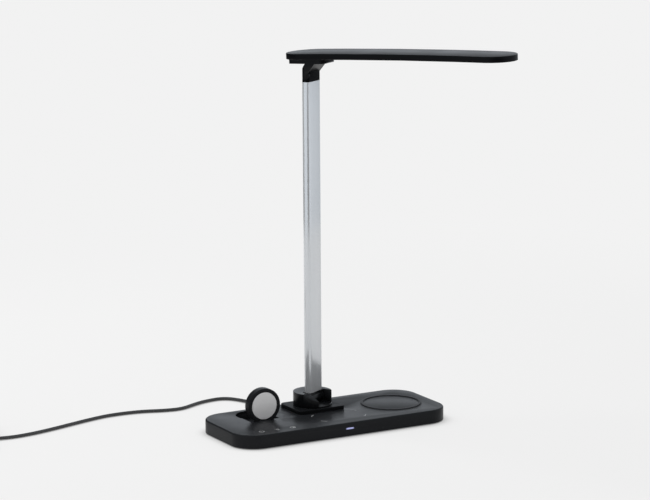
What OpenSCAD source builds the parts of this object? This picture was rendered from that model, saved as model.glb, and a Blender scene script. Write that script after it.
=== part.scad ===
// Desk lamp with a flat charging base: swivelling hub, folding stem, tilting head, fold-down watch stand.
// Row frame: origin at the centre of the base's underside, +X along the base, -Y its front, +Z up.

/* [Base] */
// Length of the base
base_l = 239; // [225:1:270]
// Depth of the base
base_w = 101; // [98:1:125]
// Height of the base's top face above the table
base_h = 14.3; // [14:0.1:20]
// Plan radius of the base's corners
base_r = 25.5; // [18:0.5:36]
// Round along the base's top edge
edge_r = 1.6; // [0.8:0.1:2]
// Side wall of the base shell
wall = 2.2; // [1.6:0.1:3]
// Thickness of the base shell's top
top_t = 2.4; // [2:0.1:2.8]
// Thickness of the bottom cover
cover_t = 2; // [1.6:0.1:2.4]
// How far the anti-slip pad stands below the cover
pad_t = 0.8; // [0.5:0.1:1.5]
// Inset of the anti-slip pad from the outline
pad_inset = 4; // [3:0.5:10]
// Radius of the bosses that the cover screws drive into
boss_r = 3.2; // [2.8:0.1:4]
// Inset of the corner screws from both sides
screw_inset = 15; // [13:0.5:18]
// Distance of the middle screws from the base's centre
screw_mid = 38; // [36:1:44]

/* [Charging zones] */
// Distance of the phone coil from the base's right end
phone_inset = 43; // [40:1:48]
// Outer radius of the phone coil
phone_coil_r = 24; // [20:0.5:26]
// Outer radius of the grip ring under a phone
grip_r = 31; // [28:0.5:34]
// Height of the grip ring above the base
grip_h = 0.7; // [0.4:0.1:1.2]
// Centre of the earbud zone along the base
buds_x = 2.5; // [-4:0.5:6]
// Distance of the earbud zone from the base's front
buds_inset = 29; // [27:0.5:31]
// Outer radius of the earbud coil
buds_coil_r = 16; // [12:0.5:17]

/* [Touch keys and status light] */
// Distance of the first touch key from the base's left end
key_first = 27.4; // [25:0.1:30]
// Pitch of the touch keys
key_pitch = 17.2; // [15:0.1:18]
// Distance of the touch keys from the base's front
key_inset = 13.1; // [12:0.1:14]
// Radius of one touch electrode
key_r = 5; // [4:0.1:6]
// Length of the status light
light_l = 9.5; // [6:0.1:14]
// Height of the status light
light_h = 1.6; // [1:0.1:2.4]
// Height of the status light above the table
light_z = 8.4; // [7:0.1:9]

/* [Hub] */
// Hub axis along the base
hub_x = -2.5; // [-6:0.5:4]
// Hub axis across the base
hub_y = 22; // [20:0.5:23]
// Radius of the hub
hub_r = 19.6; // [18.5:0.1:21]
// Height of the hub above the plinth
hub_h = 14; // [13:0.1:18]
// Width of the plinth
plinth_l = 53; // [48:1:60]
// Depth of the plinth
plinth_w = 43; // [40:1:45]
// Height of the plinth
plinth_h = 3.6; // [2.5:0.1:6]
// Plan radius of the plinth's corners
plinth_r = 5; // [2:0.5:10]
// Radius of the hollow swivel spigot
spigot_r = 8; // [7:0.1:9]
// Slope of the hub's front, from level
ramp = 38; // [20:0.5:42]
// Turn of that slope from the stem's direction
ramp_turn = -28; // [-35:1:0]
// Round along the hub's top edge
hub_edge = 0.4; // [0.2:0.1:1]
// Direction of the lamp head at rest, from +X
aim = -60; // [-150:1:30]

/* [Stem] */
// Width of the stem
stem_w = 24.3; // [22:0.1:26]
// Thickness of the stem
stem_t = 8.4; // [8:0.1:10]
// Radius of the stem's edges
stem_r = 3.3; // [2.2:0.1:3.6]
// Wall of the stem
stem_wall = 1.4; // [1:0.1:1.6]
// Length of the aluminium stem
stem_l = 315.8; // [200:1:360]
// Distance of the stem in front of the hub axis
stem_fwd = 1; // [0:0.1:2]
// Radius of the stem's pivot pin
arm_pin_r = 2.5; // [2:0.1:3]
// Radius of the knuckle at the stem's foot
knuckle_r = 5.2; // [4.8:0.1:5.6]

/* [Head hinge] */
// Height of the head pivot above the stem
hinge_rise = 6.6; // [6:0.1:9]
// Radius of the head's pivot pin
head_pin_r = 1.6; // [1.2:0.1:2]
// Half width of the stem's knuckle in the head hinge
tongue_half = 8; // [6:0.1:8.4]
// Lean of the neck at rest, from upright
neck_lean = 40; // [30:0.5:44]

/* [Head] */
// Length of the head
head_l = 251.9; // [180:1:280]
// Width of the head
head_w = 46.5; // [40:0.5:56]
// Thickness of the head
head_t = 6; // [5.5:0.1:8]
// Reach of the head behind the stem's centre
head_back = 24.9; // [20:0.1:30]
// Height of the head's top face above the head pivot
head_rise = 22.8; // [21:0.1:25]
// Rise of the head towards its tip
head_slope = 2.79; // [0:0.01:5]
// Radius of the head's long arch
arch_r = 5320; // [3000:10:9000]
// Wall of the head's cover
head_wall = 1.6; // [1.2:0.1:2.2]
// Thickness of the head's top
head_top = 1.4; // [1:0.1:1.6]
// Length of the fairing that carries the neck
fairing_l = 40.3; // [34:0.1:46]
// Width of the fairing
fairing_w = 24.3; // [23:0.1:30]
// Depth of the fairing below the head
fairing_h = 5.2; // [3:0.1:5.5]
// Length of the fairing's sloped front
fairing_ramp = 13.9; // [8:0.1:16]
// Reach of the fairing's round nose past its flat underside
fairing_nose = 3; // [2:0.5:10]
// Plan radius of the nose's corners
fairing_r = 11; // [6:0.5:12]

/* [Watch stand] */
// Centre of the watch stand along the base
stand_x = -68; // [-72:0.5:-66]
// Distance of the stand's hinge from the base's back
stand_inset = 44; // [43.5:0.5:46]
// Radius of the watch stand's disc
stand_r = 17.6; // [16:0.1:18]
// Thickness of the watch stand
stand_t = 8; // [7.4:0.1:8.2]
// Height of the disc's centre above the stand's hinge
stand_rise = 19; // [18.5:0.1:19.5]
// Radius of the charging puck
puck_r = 13.8; // [12:0.1:14.5]
// Radius of the stand's hinge pin
stand_pin_r = 1.2; // [1:0.1:1.4]

/* [Supply cord] */
// Diameter of the cord
cord_d = 3.4; // [3:0.1:4]
// Socket's distance from the base's centre, to the left
socket_x = 24; // [20:1:28]
// Mean radius of the stored coil
coil_r = 20.4; // [20:0.1:24]
// Width of the supply's body
supply_w = 40; // [30:1:46]
// Length of the supply's body
supply_l = 54; // [44:1:60]
// Height of the supply's body
supply_h = 28; // [24:1:34]

/* [Hidden] */
$fn = 64;
fit = 0.05;             // running clearance round a pin
gap = 0.2;              // clearance between covers and walls
skin = 0.01;            // overlap that joins the shapes of one solid
far = 400;              // longer than anything it cuts

floor_z = pad_t + cover_t;          // inner face of the bottom cover
ceil_z = base_h - top_t;            // inner face of the base's top
room_l = base_l - 2 * wall;
room_w = base_w - 2 * wall;
room_r = base_r - wall;
screw_spots = [for (sx = [-1, 1], sy = [-1, 1], far_one = [0, 1])
    far_one ? [sx * (base_l / 2 - screw_inset), sy * (base_w / 2 - screw_inset)]
            : [sx * screw_mid, sy * (base_w / 2 - 9.5)]];
screw_r = 1.1;
screw_head_r = 2.8;
screw_head_h = 1;

phone_x = base_l / 2 - phone_inset;
buds_y = -base_w / 2 + buds_inset;
coil_t = 1.6;           // thickness of a charging coil
ferrite_t = 0.9;        // thickness of the sheet behind a coil
grip_w = 2.6;           // width of the grip ring
grip_sunk = 0.6;        // depth of the grip ring's groove
key_y = -base_w / 2 + key_inset;
key_mid = -base_l / 2 + key_first + key_pitch;

plinth_top = base_h + plinth_h;
hub_z = plinth_top + gap;           // underside of the hub
hub_top = plinth_top + hub_h;
spigot_foot = floor_z + 4.7;
cable_r = 4;                        // hole for the wires through the spigot
nut_r = spigot_r + 3;
nut_h = 2.8;
washer_h = 0.5;
slot_half = stem_w / 2 + 0.4;       // the hub's slot is this wide either side
arm_z = hub_top - 6.5;              // height of the stem's pivot
slot_floor = arm_z - knuckle_r - 0.6;
slot_back = stem_fwd - knuckle_r - 0.4;
cheek_pin = slot_half + 3.6;        // half length of the stem's pivot pin
ramp_start = 10;                    // the slope begins this far from the hub axis
foot_half = slot_half - 1.05;
arm_washer_t = 0.9;
arm_washer_r = knuckle_r - 0.4;

stem_z = hub_top;                   // foot of the aluminium tube
stem_top = stem_z + stem_l;
core_w = stem_w - 2 * stem_wall - 2 * fit;
core_t = stem_t - 2 * stem_wall - 2 * fit;
core_r = stem_r - stem_wall;
plug_in = 18;                       // depth of the inserts in both ends of the tube

pivot_z = stem_top + hinge_rise;    // head pivot
cheek_r = stem_t / 2;
crown_r = cheek_r + 1.4;            // radius of the stem's knuckle over the pivot
neck_r = cheek_r - 0.1;             // radius of the neck's cheeks
neck_gap = 0.3;                     // clearance of the neck round the knuckle
tongue_slot = tongue_half + 0.6;
head_washer_t = 0.5;
head_mid = head_l / 2 - head_back;
crown = head_mid * head_mid / (2 * arch_r);
head_c1 = -head_back + head_w / 2;              // centre of the round hinge end
head_c2 = head_l - head_back - head_w / 2;      // centre of the round tip
panel_s = fairing_l - 1;            // where the light panel begins
led_count = 22;
fairing_back = -19.6;               // hinge end of the fairing
fairing_front = fairing_back + fairing_l;

hinge_y = base_w / 2 - stand_inset; // watch stand's hinge
stand_face = hinge_y - 4.5;         // front face of the stand, upright
hinge_z = base_h + stand_face - hinge_y - gap;
disc_z = hinge_z + stand_rise;
foot_w = 16;                        // width of the stand's foot
barrel_r = 3.6;
stand_back = stand_face + stand_t;
well_gap = 0.5;
well_floor = hinge_z + hinge_y - stand_back - 0.5;
well_half = 16.4;                   // half width of the well in front of its round end
well_wall = 1.2;
well_back = hinge_y + stand_rise;   // centre of the well's round end
puck_t = 3;

peg_r = 1.8;                        // pegs that hold the plinth
peg_head = 0.6;
plug_y = base_w / 2 + gap;
plug_z = floor_z + 4.4;
plug_r = 4.5;
plug_l = 17.3;
relief_l = 18;
jack_r = 2.8;
cord_r = cord_d / 2;
lead_y = plug_y + plug_l + relief_l;
coil_x = -352;
coil_y = 98;
coil_lift = 0.6;
coil_w = 5 * cord_d;                // five turns side by side
coil_h = 2 * cord_d;                // in two layers
coil_out = coil_r + coil_w / 2 - cord_r;                // middle of the outermost turn
tie_w = 7;
tie_t = 0.45;
supply_x = coil_x + coil_out;
supply_y = 134;
supply_port = 7;                    // height of the cord's entry
tail_relief = 14;

// Route of the cord from the base to the coil, and from the coil to the supply
lead = [[-24, lead_y + fit, plug_z], [-24, lead_y + 2, plug_z], [-23.7, 93.5, 6.6], [-23.2, 100, 5.2],
    [-23, 107, 3.6], [-23.4, 114, 2.4], [-24.8, 122, 1.9], [-27.8, 130, 1.8], [-32, 138, 1.8],
    [-38, 144.5, 1.8], [-46, 147.2, 1.8], [-56, 146.4, 1.8], [-66, 144, 1.8], [-75.5, 140.2, 1.8],
    [-84.5, 135.7, 1.8], [-92.5, 132, 1.8], [-101, 130.2, 1.8], [-110, 131.2, 1.8], [-120, 133.8, 1.8],
    [-137, 139.6, 1.8], [-156, 142.3, 1.8], [-177, 141.6, 1.8], [-200, 136, 1.8], [-222, 129, 1.8],
    [-245, 121.6, 1.8], [-268, 115.5, 1.8], [-290, 112.6, 1.8], [-308, 114.2, 2], [-322, 118.3, 2.3],
    [-337, 123, 2.3], [coil_x, coil_y + coil_out, 2.3]];
tail = [[supply_x, coil_y, 5.7], [supply_x, coil_y + 7, 6], [supply_x, coil_y + 14, supply_port],
    [supply_x, supply_y - tail_relief - fit, supply_port]];

black = "#1d1e20";
soft_black = "#26272a";
steel = "#b9bcc0";
copper = "#b87345";
ferrite = "#3a3a3e";
board = "#1f5a3c";
silver = "#c6cacf";

// ---- shapes that several pieces use ----

module rounded(l, w, r) {
    square([l - 2 * r, w], center = true);
    square([l, w - 2 * r], center = true);
    for (x = [-1, 1], y = [-1, 1]) translate([x * (l / 2 - r), y * (w / 2 - r)]) circle(r);
}

// Half of a slab's section, its top corner rounded
module edge_section(half, h, e) {
    square([half, h - e]);
    square([half - e, h]);
    translate([half - e, h - e]) circle(e);
}

// Rounded slab on z = 0 whose top edge has the radius e
module soft_slab(l, w, h, r, e) {
    translate([-(l / 2 - r), 0, 0]) rotate([90, 0, 90]) linear_extrude(l - 2 * r) {
        edge_section(w / 2, h, e);
        mirror([1, 0]) edge_section(w / 2, h, e);
    }
    for (side = [0, 1]) mirror([side, 0, 0]) translate([l / 2 - r, 0, 0]) {
        translate([0, w / 2 - r, 0]) rotate([90, 0, 0]) linear_extrude(w - 2 * r) edge_section(r, h, e);
        for (end = [0, 1]) mirror([0, end, 0]) translate([0, w / 2 - r, 0])
            rotate_extrude(angle = 90) edge_section(r, h, e);
    }
}

module at_hub() {
    translate([hub_x, hub_y, 0]) rotate([0, 0, aim]) children();
}

// The stem's centre line: +X the way the head points, +Y along the pins
module at_stem() {
    at_hub() translate([stem_fwd, 0, 0]) children();
}

// The head pivot, at rest
module at_pivot() {
    at_stem() translate([0, 0, pivot_z]) children();
}

// The head's own frame: top face at z = 0 above the pivot
module at_head() {
    at_pivot() translate([0, 0, head_rise]) rotate([0, -head_slope, 0]) children();
}

// A pin or bore along +Y through the origin
module cross_pin(r, half) {
    rotate([90, 0, 0]) cylinder(r = r, h = 2 * half, center = true);
}

module ring(r_out, r_in, h) {
    difference() {
        cylinder(r = r_out, h = h);
        translate([0, 0, -1]) cylinder(r = r_in, h = h + 2);
    }
}

// ---- base ----

module well_outline(grow) {
    translate([stand_x, well_back]) circle(stand_r + well_gap + grow);
    translate([stand_x - well_half - grow, stand_face - well_gap - grow])
        square([2 * (well_half + grow), well_back - stand_face + well_gap + grow]);
}

module base_shell() {
    color(black) difference() {
        union() {
            difference() {
                translate([0, 0, pad_t]) soft_slab(base_l, base_w, base_h - pad_t, base_r, edge_r);
                translate([0, 0, -1]) linear_extrude(ceil_z + 1) rounded(room_l, room_w, room_r);
            }
            for (p = screw_spots) translate([p.x, p.y, floor_z + gap])
                cylinder(r = boss_r, h = ceil_z - floor_z + skin - gap);
        }
        for (p = screw_spots) translate([p.x, p.y, 0]) cylinder(r = screw_r + fit, h = ceil_z - 1.5);
        translate([hub_x, hub_y, 0]) cylinder(r = spigot_r + gap, h = far);
        for (p = peg_spots) translate([p.x, p.y, 0]) cylinder(r = peg_r + fit, h = far);
        linear_extrude(far) well_outline(0);
        translate([0, -base_w / 2, light_z]) rotate([90, 0, 0]) linear_extrude(3 * wall, center = true)
            rounded(light_l + 2 * fit, light_h + 2 * fit, light_h / 2 + fit - skin);
        translate([-socket_x, base_w / 2, plug_z]) rotate([90, 0, 0])
            cylinder(r = jack_r + 1.2 + fit, h = 3 * wall, center = true);
        translate([phone_x, 0, base_h - grip_sunk]) ring(grip_r + fit, grip_r - grip_w - fit, far);
    }
}

module base_cover() {
    color(soft_black) difference() {
        union() {
            translate([0, 0, pad_t]) linear_extrude(cover_t)
                rounded(room_l - 2 * gap, room_w - 2 * gap, room_r - gap);
            for (x = [-1, 1], y = [-1, 1])
                translate([board_x + x * (board_l / 2 - 3), board_y + y * (board_w / 2 - 3), floor_z])
                    translate([0, 0, -skin]) cylinder(r = 2, h = board_z - floor_z + skin);
        }
        for (p = screw_spots) translate([p.x, p.y, 0]) {
            cylinder(r = screw_r + 0.4, h = far);
            cylinder(r = screw_head_r + gap, h = pad_t + screw_head_h + fit);
        }
    }
}

module base_pad() {
    color("#141416") linear_extrude(pad_t)
        rounded(base_l - 2 * pad_inset, base_w - 2 * pad_inset, base_r - pad_inset);
}

module cover_screws() {
    color(steel) for (p = screw_spots) translate([p.x, p.y, pad_t + fit]) difference() {
        union() {
            cylinder(r = screw_head_r, h = screw_head_h);
            cylinder(r = screw_r, h = ceil_z - pad_t - 3);
        }
        translate([0, 0, -1]) cylinder(r = 1.1, h = 1.6, $fn = 6);
    }
}

ballast_l = 132;
ballast_w = base_w - 31;
ballast_t = 4.5;
ballast_x = 27;

module ballast_plate() {
    color("#6d7076") difference() {
        translate([ballast_x, 0, floor_z]) linear_extrude(ballast_t) rounded(ballast_l, ballast_w, 4);
        translate([hub_x, hub_y, 0]) cylinder(r = nut_r + 3, h = far);
    }
}

board_l = 62;
board_w = 25;
board_t = 1.6;
board_z = floor_z + 2.4;
board_x = -base_l / 2 + 38.5;
board_y = stand_face - well_gap - well_wall - 1 - board_w / 2;

module main_board() {
    color(board) translate([board_x, board_y, board_z]) {
        translate([-board_l / 2, -board_w / 2, 0]) cube([board_l, board_w, board_t]);
        for (i = [0:3]) translate([-24 + 13 * i, 2, board_t - skin]) cube([7, 7, 3]);
        for (i = [0:4]) translate([-26 + 12 * i, -8, board_t - skin]) cylinder(r = 2.4, h = 3.4);
        translate([-6, -6, board_t - skin]) cube([5, 5, 1]);
    }
}

module touch_board() {
    color(board) translate([key_mid, key_y, 0]) {
        translate([-key_pitch - key_r - 1, -key_r - 1, ceil_z - 1.5])
            cube([2 * (key_pitch + key_r + 1), 2 * key_r + 2, 1.2]);
        for (i = [-1:1]) translate([i * key_pitch, 0, ceil_z - 0.3 - skin])
            cylinder(r = key_r, h = 0.3 + skin);
    }
}

lens_flange = 1;
lens_face = -base_w / 2;

module status_light() {
    color("#c9cdf2") translate([0, lens_face, light_z]) rotate([-90, 0, 0]) {
        linear_extrude(wall + skin) rounded(light_l, light_h, light_h / 2 - skin);
        translate([-light_l / 2 - 1.5, -light_h / 2 - 1, wall])
            cube([light_l + 3, light_h + 2, lens_flange]);
    }
}

module light_board() {
    color(board) translate([0, lens_face + wall + lens_flange, 0]) {
        translate([-light_l / 2 - 2, 1, floor_z]) cube([light_l + 4, 1.2, ceil_z - floor_z]);
        for (x = [-1, 1]) translate([x * light_l / 4 - 1, 0, light_z - 0.7]) cube([2, 1 + skin, 1.4]);
    }
}

module dc_socket() {
    color("#2d2e31") translate([-socket_x, base_w / 2, plug_z]) difference() {
        union() {
            translate([-5, -wall - 11, floor_z - plug_z])
                cube([10, 11, ceil_z - peg_head - gap - floor_z]);
            rotate([90, 0, 0]) cylinder(r = jack_r + 1.2, h = wall + 1);
        }
        translate([0, 1, 0]) rotate([90, 0, 0]) ring(jack_r, 0.6, 10);
    }
}

module phone_coil() {
    color(copper) translate([phone_x, 0, ceil_z - coil_t]) ring(phone_coil_r, phone_coil_r - 14, coil_t);
}

module phone_ferrite() {
    color(ferrite) translate([phone_x, 0, ceil_z - coil_t - ferrite_t]) linear_extrude(ferrite_t)
        square(2 * phone_coil_r + 4, center = true);
}

module phone_grip_ring() {
    color("#2b2c2f") translate([phone_x, 0, base_h - grip_sunk])
        ring(grip_r, grip_r - grip_w, grip_sunk + grip_h);
}

module earbud_coil() {
    color(copper) translate([buds_x, buds_y, ceil_z - coil_t]) ring(buds_coil_r, buds_coil_r - 9, coil_t);
}

module earbud_ferrite() {
    color(ferrite) translate([buds_x, buds_y, ceil_z - coil_t - ferrite_t]) linear_extrude(ferrite_t)
        square(2 * buds_coil_r + 2, center = true);
}

// ---- plinth and swivel ----

peg_spots = [for (x = [-1, 1], y = [-1, 1])
    [hub_x + x * (plinth_l / 2 - 5), hub_y + y * (plinth_w / 2 - 5)]];

module hub_plinth() {
    color(black) translate([hub_x, hub_y, base_h]) difference() {
        soft_slab(plinth_l, plinth_w, plinth_h, plinth_r, 0.6);
        translate([0, 0, -1]) cylinder(r = spigot_r + fit, h = far);
        for (x = [-1, 1], y = [-1, 1]) translate([x * (plinth_l / 2 - 5), y * (plinth_w / 2 - 5), -1])
            cylinder(r = peg_r + fit, h = plinth_h - 0.2);
    }
}

module plinth_pegs() {
    color(steel) for (p = peg_spots) translate([p.x, p.y, ceil_z - peg_head]) {
        cylinder(r = peg_r, h = peg_head + top_t + plinth_h - 1.4);
        cylinder(r = peg_r + 1, h = peg_head);
    }
}

module swivel_washer() {
    color(steel) translate([hub_x, hub_y, ceil_z - washer_h]) ring(nut_r, spigot_r + fit, washer_h);
}

module swivel_nut() {
    color("#8f9297") translate([hub_x, hub_y, ceil_z - washer_h - nut_h - fit]) difference() {
        cylinder(r = nut_r, h = nut_h);
        translate([0, 0, -1]) cylinder(r = spigot_r + fit, h = far);
        for (a = [0:60:300]) rotate([0, 0, a]) translate([nut_r, 0, -1]) cylinder(r = 1.2, h = far);
    }
}

module swivel_hub() {
    color(black) at_hub() difference() {
        union() {
            translate([0, 0, hub_z]) rotate_extrude() edge_section(hub_r, hub_top - hub_z, hub_edge);
            translate([0, 0, spigot_foot]) cylinder(r = spigot_r, h = hub_z - spigot_foot + skin);
        }
        translate([slot_back, -slot_half, slot_floor]) cube([far, 2 * slot_half, far]);
        rotate([0, 0, ramp_turn]) translate([ramp_start, -far / 2, hub_top]) rotate([0, ramp, 0])
            cube([far, far, far]);
        cylinder(r = cable_r, h = far);
        translate([stem_fwd, 0, arm_z]) cross_pin(arm_pin_r, cheek_pin);
    }
}

module arm_pin() {
    color(steel) at_stem() translate([0, 0, arm_z]) cross_pin(arm_pin_r, cheek_pin);
}

// ---- stem ----

module stem_section() {
    rounded(stem_t, stem_w, stem_r);
}

module core_section() {
    rounded(core_t, core_w, core_r);
}

module stem_tube() {
    color(silver) at_stem() translate([0, 0, stem_z]) linear_extrude(stem_l) difference() {
        stem_section();
        rounded(stem_t - 2 * stem_wall, stem_w - 2 * stem_wall, core_r);
    }
}

module stem_foot() {
    color("#101113") at_stem() difference() {
        union() {
            translate([0, 0, arm_z]) cross_pin(knuckle_r, foot_half);
            translate([-stem_t / 2 + 0.3, -foot_half, arm_z])
                cube([stem_t - 0.6, 2 * foot_half, stem_z - arm_z]);
            translate([0, 0, stem_z - skin]) linear_extrude(plug_in) core_section();
        }
        translate([0, 0, arm_z]) cross_pin(arm_pin_r + fit, far / 2);
        translate([0, 0, arm_z + arm_pin_r + 1.4]) cylinder(r = 1.6, h = far);
    }
}

module arm_washers() {
    color(steel) at_stem() for (side = [-1, 1])
        translate([0, side * (foot_half + fit + arm_washer_t / 2), arm_z]) difference() {
            cross_pin(arm_washer_r, arm_washer_t / 2);
            cross_pin(arm_pin_r + fit, far / 2);
        }
}

module stem_wires() {
    color("#8a2b28") at_stem() for (side = [-1, 1])
        translate([0, side * 2.2, stem_z + plug_in]) cylinder(r = 1.1, h = stem_l - 2 * plug_in);
}

module stem_top_block() {
    color(black) at_pivot() difference() {
        union() {
            translate([0, 0, stem_top - pivot_z]) linear_extrude(pivot_z - stem_top) stem_section();
            intersection() {
                cross_pin(crown_r, tongue_half);
                linear_extrude(far) stem_section();
            }
            translate([0, 0, stem_top - pivot_z - plug_in]) linear_extrude(plug_in + skin) core_section();
        }
        for (side = [-1, 1]) translate([0, side * (tongue_half + far / 2), 0])
            cross_pin(neck_r + neck_gap, far / 2);
        cross_pin(head_pin_r, stem_w / 2 - 1.4);
        translate([0, 0, -far / 2]) cylinder(r = 1.6, h = far / 2);
    }
}

module head_pin() {
    color(steel) at_pivot() cross_pin(head_pin_r, stem_w / 2 - 1.4);
}

// ---- head ----

neck_top = head_rise - head_t - fairing_h + 1;         // the neck runs this far up into the fairing
neck_front = cheek_r + 0.2;                             // the neck's front face where it clears the knuckle
neck_foot = sqrt(pow(crown_r + neck_gap, 2) - pow(neck_front, 2));
neck_back_rise = 5.8;                                   // height at which the back starts to lean
neck_back_lean = neck_lean - 4;

// Side of the neck, seen along the pin
module neck_side() {
    polygon([[-neck_r, 0], [-neck_r, neck_back_rise],
        [-neck_r + (neck_top - neck_back_rise) * tan(neck_back_lean), neck_top],
        [neck_front + (neck_top - neck_foot) * tan(neck_lean), neck_top],
        [neck_front - neck_foot * tan(neck_lean), 0]]);
}

// Rounds the neck's back corners as the stem's are
module neck_plan() {
    translate([stem_r - stem_t / 2, -stem_w / 2]) square([far, stem_w]);
    translate([-stem_t / 2, stem_r - stem_w / 2]) square([stem_t, stem_w - 2 * stem_r]);
    for (y = [-1, 1]) translate([stem_r - stem_t / 2, y * (stem_w / 2 - stem_r)]) circle(stem_r);
}

module along_pin(half) {
    rotate([90, 0, 0]) linear_extrude(2 * half, center = true) children();
}

module head_neck() {
    color(black) difference() {
        union() {
            at_pivot() difference() {
                union() {
                    intersection() {
                        along_pin(stem_w / 2) neck_side();
                        linear_extrude(far) neck_plan();
                    }
                    intersection() {
                        cross_pin(neck_r, stem_w / 2);
                        translate([0, 0, -far / 2]) linear_extrude(far) stem_section();
                    }
                }
                cross_pin(crown_r + neck_gap, tongue_slot);
            }
            at_head() fairing();
        }
        at_pivot() cross_pin(head_pin_r + fit, stem_w / 2 - 1.4 + fit);
        at_head() for (p = head_screw_spots) translate([p.x, p.y, arch(p.x) - head_t - 2.5])
            cylinder(r = head_screw_r + fit, h = 10);
    }
}

module fairing_plan() {
    heel_r = 3;
    nose = fairing_front + fairing_nose;
    translate([fairing_back + heel_r, -fairing_w / 2])
        square([nose - fairing_r - fairing_back - heel_r, fairing_w]);
    translate([fairing_back, heel_r - fairing_w / 2])
        square([nose - fairing_r - fairing_back, fairing_w - 2 * heel_r]);
    translate([nose - fairing_r - 1, fairing_r - fairing_w / 2])
        square([fairing_r + 1, fairing_w - 2 * fairing_r]);
    for (y = [-1, 1]) {
        translate([fairing_back + heel_r, y * (fairing_w / 2 - heel_r)]) circle(heel_r);
        translate([nose - fairing_r, y * (fairing_w / 2 - fairing_r)]) circle(fairing_r);
    }
}

// Flat-bottomed block with a sloped front that joins the neck to the head
module fairing() {
    low = -head_t - fairing_h;
    reach = fairing_l + fairing_ramp;
    intersection() {
        along_pin(fairing_w / 2) polygon([[fairing_back, low], [fairing_front, low],
            for (i = [4:-1:0]) let (s = fairing_back + i * reach / 4) [s, arch(s) - head_t - 0.02]]);
        translate([0, 0, 2 * low]) linear_extrude(-2 * low) fairing_plan();
    }
}

module head_washers() {
    color(steel) at_pivot() for (side = [-1, 1])
        translate([0, side * (tongue_half + fit + head_washer_t / 2), 0]) difference() {
            cross_pin(cheek_r - 0.5, head_washer_t / 2);
            cross_pin(head_pin_r + fit, far / 2);
        }
}

// Outline of the head, drawn in by inset
module head_plan(inset) {
    r = head_w / 2 - inset;
    translate([head_c1, 0]) circle(r);
    translate([head_c2, 0]) circle(r);
    translate([head_c1, -r]) square([head_c2 - head_c1, 2 * r]);
}

// Everything below the head's arch, the arch moved up by lift
module under_arch(lift, half) {
    translate([head_mid, 0, crown - arch_r]) rotate([90, 0, 0])
        cylinder(r = arch_r + lift, h = 2 * half, center = true, $fn = 1440);
}

// Height of the arch at s along the head
function arch(s) = crown - (s - head_mid) * (s - head_mid) / (2 * arch_r);

// Arched layer of the head between two heights
module head_layer(high, low, inset) {
    difference() {
        intersection() {
            translate([0, 0, -20]) linear_extrude(40) head_plan(inset);
            under_arch(high, head_w);
        }
        under_arch(low, 2 * head_w);
    }
}

module head_cover() {
    color(black) at_head() difference() {
        head_layer(0, -head_t, 0);
        head_layer(-head_top, -head_t - 5, head_wall);
    }
}

module behind_panel(s) {
    translate([s - far, -far / 2, -far / 2]) cube([far, far, far]);
}

module head_underside() {
    color(soft_black) at_head() difference() {
        intersection() {
            head_layer(-head_t + 1.5, -head_t, head_wall + 0.1);
            behind_panel(panel_s);
        }
        for (p = head_screw_spots) translate([p.x, p.y, -20]) cylinder(r = 1.1, h = 40);
    }
}

module head_diffuser() {
    color("#eeeee8") at_head() difference() {
        head_layer(-head_t + 1.4, -head_t + 0.3, head_wall + 0.1);
        behind_panel(panel_s + 0.15);
    }
}

module led_board() {
    color("#d8d6c8") at_head() difference() {
        head_layer(-head_top - 0.02, -head_top - 1, head_w / 2 - 8);
        behind_panel(panel_s + 4);
    }
}

module leds() {
    color("#f1e6b8") at_head() for (i = [0:led_count - 1], row = [-1, 1]) {
        s = panel_s + 10 + i * (head_c2 - panel_s - 16) / (led_count - 1);
        translate([s - 1.2, row * 4 - 1, arch(s) - head_top - 1.8]) cube([2.4, 2, 0.75]);
    }
}

head_screw_r = 1;
head_screw_spots = [for (s = [fairing_back + 7, fairing_front - 7], y = [-1, 1])
    [s, y * (fairing_w / 2 - 4)]];

module head_screws() {
    color(steel) at_head() for (p = head_screw_spots) translate([p.x, p.y, arch(p.x) - head_t + 1.6]) {
        cylinder(r = 2.2, h = 1);
        translate([0, 0, -3.5]) cylinder(r = head_screw_r, h = 3.5 + skin);
    }
}

// ---- watch stand ----

module at_stand() {
    translate([stand_x, hinge_y, hinge_z]) children();
}

module watch_well() {
    color(black) difference() {
        translate([0, 0, well_floor - well_wall]) linear_extrude(ceil_z - well_floor + well_wall)
            well_outline(well_wall);
        translate([0, 0, well_floor]) linear_extrude(far) well_outline(0);
        at_stand() rotate([0, 90, 0]) cylinder(r = stand_pin_r, h = 2 * (well_half + 0.8), center = true);
    }
}

module stand_pin() {
    color(steel) at_stand() rotate([0, 90, 0])
        cylinder(r = stand_pin_r, h = 2 * (well_half + 0.8), center = true);
}

module watch_stand() {
    color(black) difference() {
        union() {
            translate([stand_x, stand_back, disc_z]) rotate([90, 0, 0]) cylinder(r = stand_r, h = stand_t);
            translate([stand_x - foot_w / 2, stand_face + 0.4, hinge_z])
                cube([foot_w, stand_t - 0.8, stand_rise]);
            at_stand() rotate([0, 90, 0]) cylinder(r = barrel_r, h = foot_w, center = true);
        }
        translate([stand_x, stand_face - 1, disc_z]) rotate([-90, 0, 0])
            cylinder(r = puck_r + fit, h = 1 + puck_t + 1.4);
        at_stand() rotate([0, 90, 0]) cylinder(r = stand_pin_r + fit, h = far, center = true);
    }
}

module watch_puck() {
    color("#e3e4e6") translate([stand_x, stand_face - 0.2, disc_z]) rotate([-90, 0, 0])
        cylinder(r = puck_r, h = puck_t);
}

module watch_coil() {
    color(copper) translate([stand_x, stand_face - 0.2 + puck_t, disc_z]) rotate([-90, 0, 0])
        ring(puck_r - 2, 5, 1.4);
}

// ---- cord and supply ----

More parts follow.
